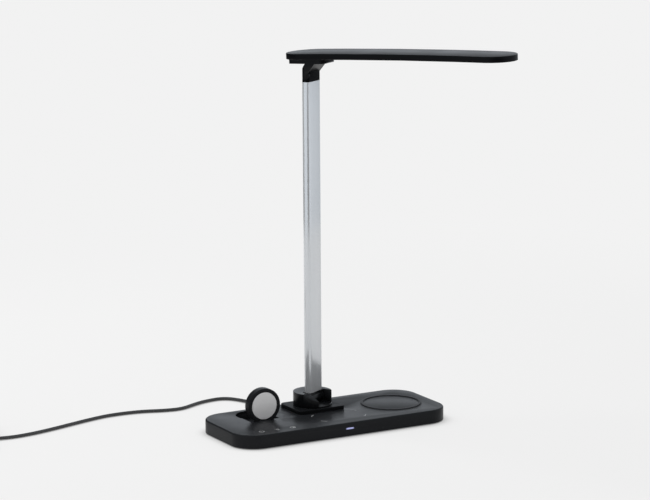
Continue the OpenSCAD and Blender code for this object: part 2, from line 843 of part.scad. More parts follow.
module dc_plug() {
    color("#17181a") translate([-socket_x, plug_y, plug_z]) difference() {
        union() {
            rotate([-90, 0, 0]) cylinder(r = plug_r, h = plug_l);
            translate([0, plug_l - skin, 0]) rotate([-90, 0, 0])
                cylinder(r1 = 3.4, r2 = 2.1, h = relief_l + skin);
            rotate([90, 0, 0]) cylinder(r = jack_r - 0.1, h = 8 + gap);
        }
        translate([0, 1, 0]) rotate([90, 0, 0]) cylinder(r = 0.75, h = far);
    }
}

function unit(v) = v / norm(v);
function heading(p, i) = unit(p[min(i + 1, len(p) - 1)] - p[max(i - 1, 0)]);
function side_of(t) = unit(cross([0, 0, 1], t));
// Rings of eight points round the route's points, then the faces between them
module sweep(p, r) {
    sides = 8;
    rings = [for (i = [0:len(p) - 1]) let (t = heading(p, i), s = side_of(t), u = cross(t, s))
        for (k = [0:sides - 1]) let (a = 360 * (k + 0.5) / sides) p[i] + r * (s * cos(a) + u * sin(a))];
    last = len(p) - 1;
    faces = [[for (k = [0:sides - 1]) sides - 1 - k], [for (k = [0:sides - 1]) last * sides + k],
        for (i = [0:last - 1], k = [0:sides - 1]) let (n = (k + 1) % sides)
            [i * sides + k, i * sides + n, (i + 1) * sides + n, (i + 1) * sides + k]];
    polyhedron([for (q = rings) q], [for (f = faces) [for (k = [len(f) - 1:-1:0]) f[k]]]);
}

module cord_lead() {
    color("#2a2b2d") sweep(lead, cord_r);
}

module cord_tail() {
    color("#2a2b2d") sweep(tail, cord_r);
}

module cord_coil() {
    color("#2a2b2d") translate([coil_x, coil_y, coil_lift + coil_h / 2]) rotate_extrude()
        translate([coil_r, 0]) rounded(coil_w, coil_h, cord_r - skin);
}

module cord_tie() {
    inner = sqrt(pow(coil_r - coil_w / 2, 2) - tie_w * tie_w / 4) - fit;
    outer = coil_r + coil_w / 2 + fit;
    high = coil_h + 2 * fit;
    color("#3a3b3e") translate([coil_x, coil_y, coil_lift + coil_h / 2]) rotate([90, 0, 0])
        linear_extrude(tie_w, center = true) difference() {
            translate([-outer - tie_t, -high / 2 - tie_t])
                square([outer - inner + 2 * tie_t, high + 2 * tie_t]);
            translate([-outer, -high / 2]) square([outer - inner, high]);
        }
}

module supply_body() {
    color("#1a1b1d") translate([supply_x, supply_y, 0]) {
        translate([0, supply_l / 2, 0]) soft_slab(supply_w, supply_l, supply_h, 5, 2);
        translate([0, skin, supply_port]) rotate([90, 0, 0])
            cylinder(r1 = 3.4, r2 = 2.1, h = tail_relief + skin);
    }
}

module supply_blades() {
    color(silver) for (side = [-1, 1])
        translate([supply_x - supply_w / 2 - 17, supply_y + supply_l / 2, supply_h / 2 - 3.2])
            translate([0, side * 6.35 - 0.75, 0]) cube([17, 1.5, 6.4]);
}

base_shell();
base_cover();
base_pad();
cover_screws();
ballast_plate();
main_board();
touch_board();
light_board();
status_light();
dc_socket();
phone_coil();
phone_ferrite();
phone_grip_ring();
earbud_coil();
earbud_ferrite();
hub_plinth();
plinth_pegs();
swivel_washer();
watch_well();
stand_pin();
swivel_hub();
swivel_nut();
arm_pin();
stem_foot();
arm_washers();
stem_tube();
stem_wires();
stem_top_block();
head_pin();
head_neck();
head_washers();
head_cover();
head_underside();
head_diffuser();
led_board();
leds();
head_screws();
watch_stand();
watch_puck();
watch_coil();
dc_plug();
cord_lead();
cord_coil();
cord_tie();
cord_tail();
supply_body();
supply_blades();
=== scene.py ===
from math import cos, pi, radians, sin

import bmesh
import bpy
from mathutils import Matrix, Vector


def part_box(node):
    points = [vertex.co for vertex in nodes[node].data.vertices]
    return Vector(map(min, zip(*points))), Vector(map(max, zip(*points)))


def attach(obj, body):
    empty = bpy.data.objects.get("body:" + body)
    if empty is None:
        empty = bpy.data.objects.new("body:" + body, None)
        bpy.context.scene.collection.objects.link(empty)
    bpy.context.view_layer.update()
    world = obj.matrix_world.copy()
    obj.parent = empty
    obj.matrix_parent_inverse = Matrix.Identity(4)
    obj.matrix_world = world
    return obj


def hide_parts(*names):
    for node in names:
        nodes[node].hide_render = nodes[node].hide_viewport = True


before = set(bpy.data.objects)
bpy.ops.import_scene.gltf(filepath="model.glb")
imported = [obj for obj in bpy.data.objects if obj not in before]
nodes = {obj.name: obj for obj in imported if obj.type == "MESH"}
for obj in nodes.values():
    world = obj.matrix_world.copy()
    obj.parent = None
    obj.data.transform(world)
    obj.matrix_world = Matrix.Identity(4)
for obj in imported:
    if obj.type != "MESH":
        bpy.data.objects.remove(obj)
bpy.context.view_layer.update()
mm = 0.001
print("frame loaded:", len(nodes), "nodes")


cameraSettings = {
    "place": (-1.423289, -2.561353, 0.759103),
    "azimuth": 29.075,        # degrees from +Y towards +X
    "pitch": 11.175,          # degrees below the horizon
    "roll": -0.366,
    "focalPixels": 3000.0,
    "imageWidth": 650,
    "sensor": 36.0,
}


def makeCamera(s):
    azimuth, pitch, roll = radians(s["azimuth"]), radians(s["pitch"]), radians(s["roll"])
    ahead = Vector((sin(azimuth) * cos(pitch), cos(azimuth) * cos(pitch), -sin(pitch)))
    right = Vector((cos(azimuth), -sin(azimuth), 0))
    up = right.cross(ahead)
    imageRight = right * cos(roll) + up * sin(roll)
    imageUp = up * cos(roll) - right * sin(roll)
    data = bpy.data.cameras.new("camera")
    data.sensor_width = s["sensor"]
    data.lens = s["focalPixels"] * s["sensor"] / s["imageWidth"]
    data.clip_end = 60
    camera = bpy.data.objects.new("camera", data)
    turned = Matrix((imageRight, imageUp, -ahead)).transposed().to_4x4()
    camera.matrix_world = Matrix.Translation(s["place"]) @ turned
    bpy.context.scene.collection.objects.link(camera)
    bpy.context.scene.camera = camera


makeCamera(cameraSettings)
print("camera ready")


def linkMesh(name, mesh):
    made = bpy.data.objects.new(name, mesh)
    bpy.context.scene.collection.objects.link(made)
    return made


def bake(thing, name):
    # Modifiers and curves become one plain mesh whose object sits at the origin.
    bpy.context.view_layer.update()
    evaluated = thing.evaluated_get(bpy.context.evaluated_depsgraph_get())
    mesh = bpy.data.meshes.new_from_object(evaluated)
    mesh.transform(thing.matrix_world)
    bpy.data.objects.remove(thing)
    mesh.name = name
    return linkMesh(name, mesh)


def paint(thing, material):
    thing.data.materials.clear()
    thing.data.materials.append(material)


def smooth(thing, angle=32):
    thing.data.shade_smooth()
    thing.data.set_sharp_from_angle(angle=radians(angle))


def dress(thing, body, slotName, *replaced):
    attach(thing, body)
    if replaced:
        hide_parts(*replaced)
    return thing


# A finished copy of a CAD node: one welded skin with its edges rounded
def finishedCopy(node, name, edge, segments=2, fromAngle=34):
    mesh = nodes[node].data.copy()
    mesh.name = name
    build = bmesh.new()
    build.from_mesh(mesh)
    bmesh.ops.remove_doubles(build, verts=build.verts, dist=1e-6)
    bmesh.ops.dissolve_limit(build, angle_limit=radians(0.4), verts=build.verts, edges=build.edges)
    build.to_mesh(mesh)
    build.free()
    copied = linkMesh(name, mesh)
    if edge:
        bevel = copied.modifiers.new("edges", "BEVEL")
        bevel.width = edge * mm
        bevel.segments = segments
        bevel.limit_method = "ANGLE"
        bevel.angle_limit = radians(fromAngle)
        bevel.harden_normals = False
        copied = bake(copied, name)
    smooth(copied)
    return copied


def newGroup(name, inputs, outputs):
    group = bpy.data.node_groups.new(name, "ShaderNodeTree")
    for label, kind, value in inputs:
        socket = group.interface.new_socket(label, in_out="INPUT", socket_type=kind)
        if value is not None:
            socket.default_value = value
    for label, kind in outputs:
        group.interface.new_socket(label, in_out="OUTPUT", socket_type=kind)
    return group, group.nodes.new("NodeGroupInput"), group.nodes.new("NodeGroupOutput")


def addNode(tree, kind, **settings):
    node = tree.nodes.new(kind)
    for key, value in settings.items():
        setattr(node, key, value)
    return node


def mathNode(tree, operation, first, second=None, clamp=False):
    node = addNode(tree, "ShaderNodeMath", operation=operation, use_clamp=clamp)
    for socket, value in zip(node.inputs, (first, second)):
        if isinstance(value, (int, float)):
            socket.default_value = value
        elif value is not None:
            tree.links.new(value, socket)
    return node.outputs[0]


def rangeNode(tree, value, low, high, outLow, outHigh, ease="SMOOTHSTEP"):
    node = addNode(tree, "ShaderNodeMapRange", interpolation_type=ease)
    tree.links.new(value, node.inputs["Value"])
    for label, number in (("From Min", low), ("From Max", high), ("To Min", outLow), ("To Max", outHigh)):
        if isinstance(number, (int, float)):
            node.inputs[label].default_value = number
        else:
            tree.links.new(number, node.inputs[label])
    return node.outputs["Result"]


def makeFineGrain():
    # The spark-eroded grain of moulded plastic, with a slower drift of gloss under it
    group, entry, leave = newGroup("fineGrain", (
        ("Vector", "NodeSocketVector", None),
        ("Cells per metre", "NodeSocketFloat", 1500.0),
        ("Drift per metre", "NodeSocketFloat", 40.0),
        ("Drift", "NodeSocketFloat", 0.5),
    ), (("Height", "NodeSocketFloat"), ("Drift", "NodeSocketFloat")))
    pits = addNode(group, "ShaderNodeTexVoronoi", feature="SMOOTH_F1")
    pits.inputs["Smoothness"].default_value = 0.6
    cloud = addNode(group, "ShaderNodeTexNoise")
    cloud.inputs["Detail"].default_value = 3
    slow = addNode(group, "ShaderNodeTexNoise")
    slow.inputs["Detail"].default_value = 2
    for tex, rate in ((pits, "Cells per metre"), (cloud, "Cells per metre"), (slow, "Drift per metre")):
        group.links.new(entry.outputs["Vector"], tex.inputs["Vector"])
        group.links.new(entry.outputs[rate], tex.inputs["Scale"])
    both = mathNode(group, "MULTIPLY", pits.outputs["Distance"], cloud.outputs["Fac"])
    group.links.new(both, leave.inputs["Height"])
    centred = mathNode(group, "SUBTRACT", slow.outputs["Fac"], 0.5)
    group.links.new(mathNode(group, "MULTIPLY", centred, entry.outputs["Drift"]), leave.inputs["Drift"])
    return group


def makeEdgeWear():
    # Where handled edges are polished a little: found from the rounded normal, broken up by noise
    group, entry, leave = newGroup("edgeWear", (
        ("Vector", "NodeSocketVector", None),
        ("Radius", "NodeSocketFloat", 0.0008),
        ("Amount", "NodeSocketFloat", 0.5),
    ), (("Mask", "NodeSocketFloat"),))
    rounded = addNode(group, "ShaderNodeBevel", samples=4)
    group.links.new(entry.outputs["Radius"], rounded.inputs["Radius"])
    flat = addNode(group, "ShaderNodeNewGeometry")
    dot = addNode(group, "ShaderNodeVectorMath", operation="DOT_PRODUCT")
    group.links.new(rounded.outputs["Normal"], dot.inputs[0])
    group.links.new(flat.outputs["Normal"], dot.inputs[1])
    edge = rangeNode(group, dot.outputs["Value"], 0.995, 0.86, 0.0, 1.0)
    rub = addNode(group, "ShaderNodeTexNoise")
    rub.inputs["Scale"].default_value = 160
    rub.inputs["Detail"].default_value = 4
    group.links.new(entry.outputs["Vector"], rub.inputs["Vector"])
    patch = rangeNode(group, rub.outputs["Fac"], 0.35, 0.62, 0.25, 1.0)
    both = mathNode(group, "MULTIPLY", edge, patch)
    group.links.new(mathNode(group, "MULTIPLY", both, entry.outputs["Amount"]), leave.inputs["Mask"])
    return group


def makeDustFilm():
    # A thin film that settles on faces turned up, in soft patches and single specks
    group, entry, leave = newGroup("dustFilm", (
        ("Vector", "NodeSocketVector", None),
        ("Normal", "NodeSocketVector", None),
        ("Amount", "NodeSocketFloat", 0.2),
    ), (("Mask", "NodeSocketFloat"),))
    parts = addNode(group, "ShaderNodeSeparateXYZ")
    group.links.new(entry.outputs["Normal"], parts.inputs[0])
    up = rangeNode(group, parts.outputs["Z"], 0.5, 1.0, 0.0, 1.0)
    cloud = addNode(group, "ShaderNodeTexNoise")
    cloud.inputs["Scale"].default_value = 28
    cloud.inputs["Detail"].default_value = 6
    specks = addNode(group, "ShaderNodeTexVoronoi")
    specks.inputs["Scale"].default_value = 420
    for tex in (cloud, specks):
        group.links.new(entry.outputs["Vector"], tex.inputs["Vector"])
    film = rangeNode(group, cloud.outputs["Fac"], 0.38, 0.7, 0.15, 0.7)
    dots = rangeNode(group, specks.outputs["Distance"], 0.1, 0.04, 0.0, 0.5)
    both = mathNode(group, "ADD", film, dots, clamp=True)
    lying = mathNode(group, "MULTIPLY", both, up)
    group.links.new(mathNode(group, "MULTIPLY", lying, entry.outputs["Amount"]), leave.inputs["Mask"])
    return group


def makeDrawnLines():
    # Long fine lines along one axis, as extrusion and brushing leave on metal
    group, entry, leave = newGroup("drawnLines", (
        ("Vector", "NodeSocketVector", None),
        ("Across per metre", "NodeSocketFloat", 3000.0),
        ("Along per metre", "NodeSocketFloat", 12.0),
    ), (("Height", "NodeSocketFloat"), ("Tone", "NodeSocketFloat")))
    rates = addNode(group, "ShaderNodeCombineXYZ")
    for axis, rate in (("X", "Across per metre"), ("Y", "Across per metre"), ("Z", "Along per metre")):
        group.links.new(entry.outputs[rate], rates.inputs[axis])
    scaled = addNode(group, "ShaderNodeVectorMath", operation="MULTIPLY")
    group.links.new(entry.outputs["Vector"], scaled.inputs[0])
    group.links.new(rates.outputs[0], scaled.inputs[1])
    lines = addNode(group, "ShaderNodeTexNoise")
    lines.inputs["Scale"].default_value = 1
    lines.inputs["Detail"].default_value = 3
    broad = addNode(group, "ShaderNodeTexNoise")
    broad.inputs["Scale"].default_value = 0.06
    broad.inputs["Detail"].default_value = 2
    for tex in (lines, broad):
        group.links.new(scaled.outputs[0], tex.inputs["Vector"])
    group.links.new(lines.outputs["Fac"], leave.inputs["Height"])
    group.links.new(mathNode(group, "SUBTRACT", broad.outputs["Fac"], 0.5), leave.inputs["Tone"])
    return group


fineGrain = makeFineGrain()
edgeWear = makeEdgeWear()
dustFilm = makeDustFilm()
drawnLines = makeDrawnLines()


def startMaterial(name, roughness, metallic=0.0, specular=0.5):
    material = bpy.data.materials.new(name)
    material.use_nodes = True
    tree = material.node_tree
    shader = tree.nodes["Principled BSDF"]
    shader.inputs["Roughness"].default_value = roughness
    shader.inputs["Metallic"].default_value = metallic
    shader.inputs["Specular IOR Level"].default_value = specular
    place = addNode(tree, "ShaderNodeTexCoord")
    return material, tree, shader, place


def groupNode(tree, group, place, **values):
    node = addNode(tree, "ShaderNodeGroup", node_tree=group)
    tree.links.new(place.outputs["Object"], node.inputs["Vector"])
    if "Normal" in node.inputs:
        tree.links.new(place.outputs["Normal"], node.inputs["Normal"])
    for label, value in values.items():
        node.inputs[label.replace("_", " ")].default_value = value
    return node


def mixColour(tree, factor, first, second):
    node = addNode(tree, "ShaderNodeMix", data_type="RGBA")
    tree.links.new(factor, node.inputs["Factor"])
    for socket, value in ((node.inputs[6], first), (node.inputs[7], second)):
        if isinstance(value, tuple):
            socket.default_value = (*value, 1)
        else:
            tree.links.new(value, socket)
    return node.outputs[2]


def bumpFrom(tree, height, strength, distance):
    bump = addNode(tree, "ShaderNodeBump")
    bump.inputs["Strength"].default_value = strength
    bump.inputs["Distance"].default_value = distance
    tree.links.new(height, bump.inputs["Height"])
    return bump.outputs["Normal"]


def mouldedPlastic(name, s):
    # Grain, uneven gloss, rubbed edges and a trace of dust over one moulded colour
    material, tree, shader, place = startMaterial(name, s["roughness"], specular=s["specular"])
    grain = groupNode(tree, fineGrain, place, Cells_per_metre=s["cells"], Drift=s["drift"])
    wear = groupNode(tree, edgeWear, place, Radius=s["edgeRadius"], Amount=s["wear"])
    dust = groupNode(tree, dustFilm, place, Amount=s["dust"])
    cloud = rangeNode(tree, grain.outputs["Drift"], -0.2, 0.2, 0.0, 1.0)
    body = mixColour(tree, cloud, s["colour"], s["colourHigh"])
    worn = mixColour(tree, wear.outputs["Mask"], body, s["worn"])
    dusty = mixColour(tree, dust.outputs["Mask"], worn, s["dustColour"])
    tree.links.new(dusty, shader.inputs["Base Color"])
    gloss = mathNode(tree, "ADD", grain.outputs["Drift"], s["roughness"])
    polish = mathNode(tree, "MULTIPLY", wear.outputs["Mask"], s["rubGloss"])
    film = mathNode(tree, "MULTIPLY", dust.outputs["Mask"], s["dustMatt"])
    filmed = mathNode(tree, "ADD", mathNode(tree, "SUBTRACT", gloss, polish), film, clamp=True)
    tree.links.new(filmed, shader.inputs["Roughness"])
    normal = bumpFrom(tree, grain.outputs["Height"], s["bump"], s["bumpDepth"])
    tree.links.new(normal, shader.inputs["Normal"])
    return material


def drawnMetal(name, s):
    material, tree, shader, place = startMaterial(name, s["roughness"], metallic=s.get("metallic", 1.0))
    lines = groupNode(tree, drawnLines, place, Across_per_metre=s["across"], Along_per_metre=s["along"])
    wear = groupNode(tree, edgeWear, place, Radius=s["edgeRadius"], Amount=s["wear"])
    tone = rangeNode(tree, lines.outputs["Tone"], -0.25, 0.25, 0.0, 1.0)
    body = mixColour(tree, tone, s["colour"], s["colourHigh"])
    worn = mixColour(tree, wear.outputs["Mask"], body, s["worn"])
    tree.links.new(worn, shader.inputs["Base Color"])
    shift = mathNode(tree, "MULTIPLY", lines.outputs["Tone"], s["glossDrift"])
    tree.links.new(mathNode(tree, "ADD", shift, s["roughness"], clamp=True), shader.inputs["Roughness"])
    normal = bumpFrom(tree, lines.outputs["Height"], s["bump"], s["bumpDepth"])
    tree.links.new(normal, shader.inputs["Normal"])
    return material


blackPlastic = {
    "colour": (0.0115, 0.0123, 0.0138), "colourHigh": (0.0145, 0.0154, 0.0170),
    "worn": (0.024, 0.025, 0.028), "dustColour": (0.12, 0.12, 0.125),
    "roughness": 0.34, "cells": 1900, "drift": 0.10, "bump": 0.2, "bumpDepth": 0.0001,
    "edgeRadius": 0.0007, "wear": 0.35, "rubGloss": 0.12, "dust": 0.03, "dustMatt": 0.5, "specular": 0.07,
}
hubLook = dict(blackPlastic, colour=(0.0034, 0.0037, 0.0044), colourHigh=(0.0052, 0.0056, 0.0064))
headLook = dict(blackPlastic, colour=(0.0030, 0.0033, 0.0040), colourHigh=(0.0046, 0.0050, 0.0058))
matteBlack = mouldedPlastic("matteBlackPlastic", blackPlastic)
hubBlack = mouldedPlastic("hubPlastic", dict(hubLook, roughness=0.30, specular=0.18))
hingeBlack = mouldedPlastic("hingePlastic", dict(hubLook, roughness=0.5, specular=0.03))
neckBlack = mouldedPlastic("neckPlastic", dict(headLook, roughness=0.32, specular=0.12))
headBlack = mouldedPlastic("headPlastic", dict(headLook, roughness=0.36, dust=0.05))
plinthBlack = mouldedPlastic("plinthPlastic", dict(
    blackPlastic, colour=(0.0060, 0.0065, 0.0074), colourHigh=(0.0080, 0.0086, 0.0096), roughness=0.42,
    specular=0.035))
softBlack = mouldedPlastic("coverPlastic", dict(
    blackPlastic, colour=(0.020, 0.021, 0.023), colourHigh=(0.026, 0.027, 0.030), roughness=0.55, cells=1300,
    specular=0.3))
footRubber = mouldedPlastic("footRubber", dict(
    blackPlastic, colour=(0.013, 0.013, 0.014), colourHigh=(0.018, 0.018, 0.019), roughness=0.8, cells=800,
    bump=0.5, wear=0.1, specular=0.35))
gripSilicone = mouldedPlastic("gripSilicone", dict(
    blackPlastic, colour=(0.020, 0.021, 0.023), colourHigh=(0.026, 0.027, 0.029), roughness=0.66, cells=1100,
    specular=0.3))
puckPlastic = mouldedPlastic("puckPlastic", dict(
    blackPlastic, colour=(0.72, 0.72, 0.73), colourHigh=(0.78, 0.78, 0.79), worn=(0.60, 0.60, 0.61),
    dustColour=(0.5, 0.5, 0.5), roughness=0.24, drift=0.04, bump=0.04, wear=0.1, dust=0.02, specular=0.5))
supplyBlack = mouldedPlastic("supplyPlastic", dict(
    blackPlastic, roughness=0.5, cells=1200, bump=0.4, wear=0.5, specular=0.3))
cordJacket = mouldedPlastic("cordJacket", dict(
    blackPlastic, colour=(0.036, 0.036, 0.037), colourHigh=(0.047, 0.047, 0.048), roughness=0.5, cells=2200,
    drift=0.16, wear=0.0, dust=0.12, specular=0.35))
sleeveRed = mouldedPlastic("wireSleeve", dict(
    blackPlastic, colour=(0.22, 0.018, 0.014), colourHigh=(0.27, 0.026, 0.020), worn=(0.3, 0.05, 0.04),
    roughness=0.45, wear=0.0, specular=0.5))

satinAluminium = drawnMetal("satinAluminium", {
    "colour": (0.68, 0.705, 0.73), "colourHigh": (0.73, 0.75, 0.775), "worn": (0.80, 0.81, 0.83),
    "metallic": 0.42, "roughness": 0.18, "glossDrift": 0.10, "across": 1500, "along": 9, "bump": 0.05,
    "bumpDepth": 0.00005, "edgeRadius": 0.0008, "wear": 0.3,
})
steelFinish = drawnMetal("steelFinish", {
    "colour": (0.50, 0.51, 0.53), "colourHigh": (0.60, 0.61, 0.63), "worn": (0.75, 0.75, 0.76),
    "roughness": 0.32, "glossDrift": 0.3, "across": 1500, "along": 1500, "bump": 0.15, "bumpDepth": 0.00004,
    "edgeRadius": 0.0004, "wear": 0.6,
})
nutMetal = drawnMetal("nutMetal", {
    "colour": (0.36, 0.36, 0.37), "colourHigh": (0.44, 0.44, 0.45), "worn": (0.6, 0.6, 0.6),
    "roughness": 0.4, "glossDrift": 0.3, "across": 900, "along": 900, "bump": 0.25, "bumpDepth": 0.00006,
    "edgeRadius": 0.0005, "wear": 0.6,
})
castIron = drawnMetal("castIron", {
    "colour": (0.13, 0.13, 0.14), "colourHigh": (0.18, 0.18, 0.19), "worn": (0.35, 0.35, 0.36),
    "roughness": 0.62, "glossDrift": 0.3, "across": 420, "along": 420, "bump": 0.7, "bumpDepth": 0.0004,
    "edgeRadius": 0.0006, "wear": 0.6,
})
print("first materials ready")


def makeWindings():
    # Turns of enamelled wire round a coil's centre; Across picks the plane that the coil lies in
    group, entry, leave = newGroup("windings", (
        ("Vector", "NodeSocketVector", None),
        ("Centre", "NodeSocketVector", None),
        ("Across", "NodeSocketVector", None),
        ("Pitch", "NodeSocketFloat", 0.0009),
    ), (("Height", "NodeSocketFloat"), ("Shade", "NodeSocketFloat")))
    away = addNode(group, "ShaderNodeVectorMath", operation="SUBTRACT")
    flat = addNode(group, "ShaderNodeVectorMath", operation="MULTIPLY")
    reach = addNode(group, "ShaderNodeVectorMath", operation="LENGTH")
    group.links.new(entry.outputs["Vector"], away.inputs[0])
    group.links.new(entry.outputs["Centre"], away.inputs[1])
    group.links.new(away.outputs[0], flat.inputs[0])
    group.links.new(entry.outputs["Across"], flat.inputs[1])
    group.links.new(flat.outputs[0], reach.inputs[0])
    turns = mathNode(group, "DIVIDE", reach.outputs["Value"], entry.outputs["Pitch"])
    wave = mathNode(group, "PINGPONG", turns, 0.5)
    group.links.new(rangeNode(group, wave, 0.0, 0.5, 0.0, 1.0), leave.inputs["Height"])
    group.links.new(rangeNode(group, wave, 0.0, 0.22, 0.0, 1.0), leave.inputs["Shade"])
    return group


windings = makeWindings()


def woundCopper(name, s):
    material, tree, shader, place = startMaterial(name, s["roughness"], metallic=1.0)
    turns = groupNode(tree, windings, place, Centre=s["centre"], Across=s["across"], Pitch=s["pitch"])
    body = mixColour(tree, turns.outputs["Shade"], s["between"], s["colour"])
    tree.links.new(body, shader.inputs["Base Color"])
    tree.links.new(bumpFrom(tree, turns.outputs["Height"], s["bump"], s["bumpDepth"]), shader.inputs["Normal"])
    return material


coilCopper = {"colour": (0.72, 0.30, 0.12), "between": (0.10, 0.035, 0.015), "roughness": 0.35,
              "pitch": 0.0009, "across": (1, 1, 0), "bump": 0.8, "bumpDepth": 0.0003}


def circuitBoard(name, s):
    # Solder mask with paler tracks; whatever stands above the board is dark parts with pale ends
    material, tree, shader, place = startMaterial(name, s["roughness"])
    tracks = addNode(tree, "ShaderNodeTexBrick")
    tracks.inputs["Scale"].default_value = s["tracks"]
    tracks.inputs["Mortar Size"].default_value = s["trackWidth"]
    tracks.inputs["Color1"].default_value = (*s["mask"], 1)
    tracks.inputs["Color2"].default_value = (*s["maskDark"], 1)
    tracks.inputs["Mortar"].default_value = (*s["track"], 1)
    tree.links.new(place.outputs["Object"], tracks.inputs["Vector"])
    parts = addNode(tree, "ShaderNodeSeparateXYZ")
    tree.links.new(place.outputs["Object"], parts.inputs[0])
    raised = rangeNode(tree, parts.outputs["Z"], s["top"], s["top"] + s["blend"], 0.0, 1.0)
    grain = groupNode(tree, fineGrain, place, Cells_per_metre=s["cells"])
    speck = rangeNode(tree, grain.outputs["Height"], 0.1, 0.4, 0.0, 1.0)
    chip = mixColour(tree, speck, s["part"], s["partEnd"])
    tree.links.new(mixColour(tree, raised, tracks.outputs["Color"], chip), shader.inputs["Base Color"])
    tree.links.new(bumpFrom(tree, grain.outputs["Height"], s["bump"], s["bumpDepth"]), shader.inputs["Normal"])
    return material


# "top" is the height of the board's upper face in metres, past the board where nothing stands on it
boardLook = {
    "mask": (0.010, 0.075, 0.030), "maskDark": (0.008, 0.060, 0.025), "track": (0.03, 0.14, 0.06),
    "part": (0.015, 0.015, 0.016), "partEnd": (0.09, 0.09, 0.09), "roughness": 0.35, "tracks": 240,
    "trackWidth": 0.09, "blend": 0.0002, "cells": 1500.0, "bump": 0.2, "bumpDepth": 0.0001,
}


def milkyPanel(name, s):
    material, tree, shader, place = startMaterial(name, s["roughness"])
    grain = groupNode(tree, fineGrain, place, Cells_per_metre=s["cells"], Drift=s["drift"])
    cloud = rangeNode(tree, grain.outputs["Drift"], -0.1, 0.1, 0.0, 1.0)
    tree.links.new(mixColour(tree, cloud, s["colour"], s["colourHigh"]), shader.inputs["Base Color"])
    shader.inputs["Subsurface Weight"].default_value = s["milk"]
    shader.inputs["Subsurface Scale"].default_value = s["milkDepth"]
    tree.links.new(bumpFrom(tree, grain.outputs["Height"], s["bump"], s["bumpDepth"]), shader.inputs["Normal"])
    return material


def lightPipe(name, s):
    # A moulded lens lit from behind: brightest along its middle
    material, tree, shader, place = startMaterial(name, s["roughness"])
    shift = addNode(tree, "ShaderNodeMapping")
    shift.inputs["Location"].default_value = [-v for v in s["centre"]]
    tree.links.new(place.outputs["Object"], shift.inputs["Vector"])
    parts = addNode(tree, "ShaderNodeSeparateXYZ")
    tree.links.new(shift.outputs[0], parts.inputs[0])
    along = mathNode(tree, "ABSOLUTE", parts.outputs["X"])
    glow = rangeNode(tree, along, s["half"] * 0.5, s["half"], 1.0, 0.0)
    tree.links.new(mixColour(tree, glow, s["dim"], s["lit"]), shader.inputs["Emission Color"])
    tree.links.new(mixColour(tree, glow, s["rim"], s["body"]), shader.inputs["Base Color"])
    shader.inputs["Emission Strength"].default_value = s["strength"]
    return material


woundPhone = woundCopper("phoneWindings", dict(coilCopper, centre=(0.0765, 0, 0)))
woundBuds = woundCopper("earbudWindings", dict(coilCopper, centre=(0.0025, -0.0215, 0)))
woundWatch = woundCopper("watchWindings", dict(coilCopper, centre=(-0.068, 0, 0.0286), across=(1, 0, 1)))
ferriteSheet = mouldedPlastic("ferriteSheet", dict(
    blackPlastic, colour=(0.045, 0.044, 0.047), colourHigh=(0.060, 0.058, 0.062), roughness=0.5,
    cells=700, wear=0.2, specular=0.4))
mainBoard = circuitBoard("mainBoard", dict(boardLook, top=0.0069))
touchBoard = circuitBoard("touchBoard", dict(boardLook, top=0.0117))
lightBoard = circuitBoard("lightBoard", dict(boardLook, top=1.0))
ledBoard = circuitBoard("ledBoard", dict(boardLook, mask=(0.62, 0.61, 0.55), maskDark=(0.58, 0.57, 0.52),
                                         track=(0.68, 0.67, 0.62), top=2.0))
ledPhosphor = mouldedPlastic("ledPhosphor", dict(
    blackPlastic, colour=(0.80, 0.66, 0.26), colourHigh=(0.86, 0.74, 0.36), worn=(0.85, 0.83, 0.78),
    roughness=0.4, specular=0.5))
diffuserWhite = milkyPanel("diffuserWhite", {
    "colour": (0.74, 0.74, 0.71), "colourHigh": (0.79, 0.79, 0.76), "roughness": 0.42, "cells": 900,
    "drift": 0.2, "bump": 0.12, "bumpDepth": 0.0001, "milk": 0.25, "milkDepth": 0.001,
})
statusLens = lightPipe("statusLens", {
    "centre": (0, -0.0505, 0.0084), "half": 0.00475, "body": (0.45, 0.46, 0.66), "rim": (0.16, 0.16, 0.25),
    "lit": (0.30, 0.34, 0.82), "dim": (0.05, 0.06, 0.18), "strength": 0.35, "roughness": 0.3})
print("all materials ready")


baseFinish = {
    "shellEdge": 0.3, "coverEdge": 0.3, "padEdge": 0.25, "plinthEdge": 0.3, "wellEdge": 0.2,
    "gripEdge": 0.22, "lensEdge": 0.12, "screwEdge": 0.12,
}


def finishBase(s):
    made = (
        ("base_shell", "baseShell", s["shellEdge"], matteBlack, "matte_black"),
        ("base_cover", "bottomCover", s["coverEdge"], softBlack, "soft_black"),
        ("base_pad", "footPad", s["padEdge"], footRubber, "pad_rubber"),
        ("cover_screws", "coverScrews", s["screwEdge"], steelFinish, "steel"),
        ("hub_plinth", "hubPlinth", s["plinthEdge"], plinthBlack, "matte_black"),
        ("watch_well", "watchWell", s["wellEdge"], matteBlack, "matte_black"),
        ("phone_grip_ring", "phoneGripRing", s["gripEdge"], gripSilicone, "pad_rubber"),
        ("status_light", "statusLight", s["lensEdge"], statusLens, "status_lens"),
        ("dc_socket", "dcSocket", s["lensEdge"], softBlack, "soft_black"),
        ("stand_pin", "standPin", s["screwEdge"], steelFinish, "steel"),
    )
    for node, name, edge, material, slotName in made:
        piece = finishedCopy(node, name, edge)
        paint(piece, material)
        dress(piece, "base", slotName, node)


finishBase(baseFinish)
print("base finished")

